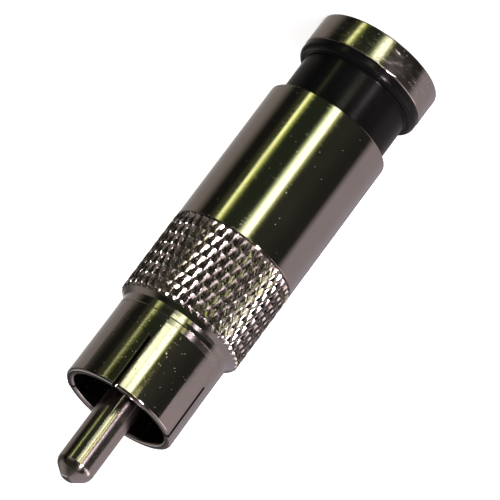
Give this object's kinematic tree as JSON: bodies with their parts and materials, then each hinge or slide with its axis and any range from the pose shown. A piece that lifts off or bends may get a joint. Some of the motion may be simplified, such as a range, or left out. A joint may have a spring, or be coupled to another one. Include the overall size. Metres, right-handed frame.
{
  "type": "phono plug compression connector for coaxial cable",
  "caption": "Coaxial compression plug: bullet-nosed pin in a slotted ground skirt, knurled grip and smooth barrel, with a black sleeve and end ring that slide in to clamp the cable.",
  "frame": {"origin": "centre of the rear face of the end ring, where the connector stands", "axes": "+Z along the connector from the cable end to the tip of the pin; the saw cuts of the skirt run at 27.7 and 106.5 degrees from +X"},
  "size_m": [0.0112, 0.0112, 0.0438],
  "materials": {
    "nickel_plate": "bright nickel plate on turned brass",
    "black_plastic": "smooth moulded black plastic",
    "insulator_plastic": "plain moulded dark plastic"
  },
  "bodies": {
    "ferrule": {"compression_sleeve": "black_plastic", "compression_ring": "nickel_plate"},
    "plug": {"centre_pin": "nickel_plate", "ground_skirt": "nickel_plate", "connector_body": "nickel_plate", "front_insulator": "insulator_plastic", "rear_insulator": "insulator_plastic", "cable_post": "nickel_plate"}
  },
  "joints": [
    {"name": "compression_slide", "type": "slide", "parent": "ferrule", "child": "plug", "axis": [0, 0, -1], "range_m": [0, 0.0039]}
  ]
}
